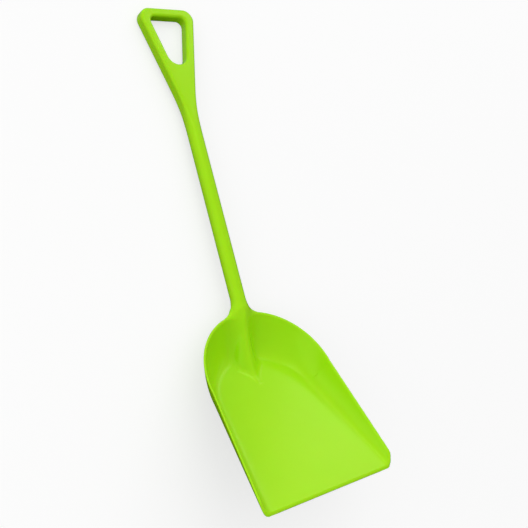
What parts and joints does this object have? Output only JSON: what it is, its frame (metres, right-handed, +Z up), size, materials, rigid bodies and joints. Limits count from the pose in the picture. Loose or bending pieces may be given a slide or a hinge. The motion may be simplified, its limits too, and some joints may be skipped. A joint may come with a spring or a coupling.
{
  "type": "snow shovel",
  "caption": "One-piece plastic scoop snow shovel with a deep pan, an oval shaft and a triangular D-grip.",
  "frame": {"origin": "bottom centre of the shovel's box as it lies face up on a floor, on its heel and the back of its grip", "axes": "+Y along the shovel towards the grip, +X across it, +Z up, out of the open side of the pan"},
  "size_m": [0.3444, 1.0862, 0.2003],
  "materials": {
    "green_plastic": "satin moulded polypropylene, lime green",
    "core_plastic": "natural polypropylene, matt"
  },
  "bodies": {
    "root": {"pan": "green_plastic", "neck": "green_plastic", "shaft": "green_plastic", "grip": "green_plastic", "neck_core": "core_plastic", "shaft_core": "core_plastic", "grip_core": "core_plastic"}
  },
  "joints": []
}
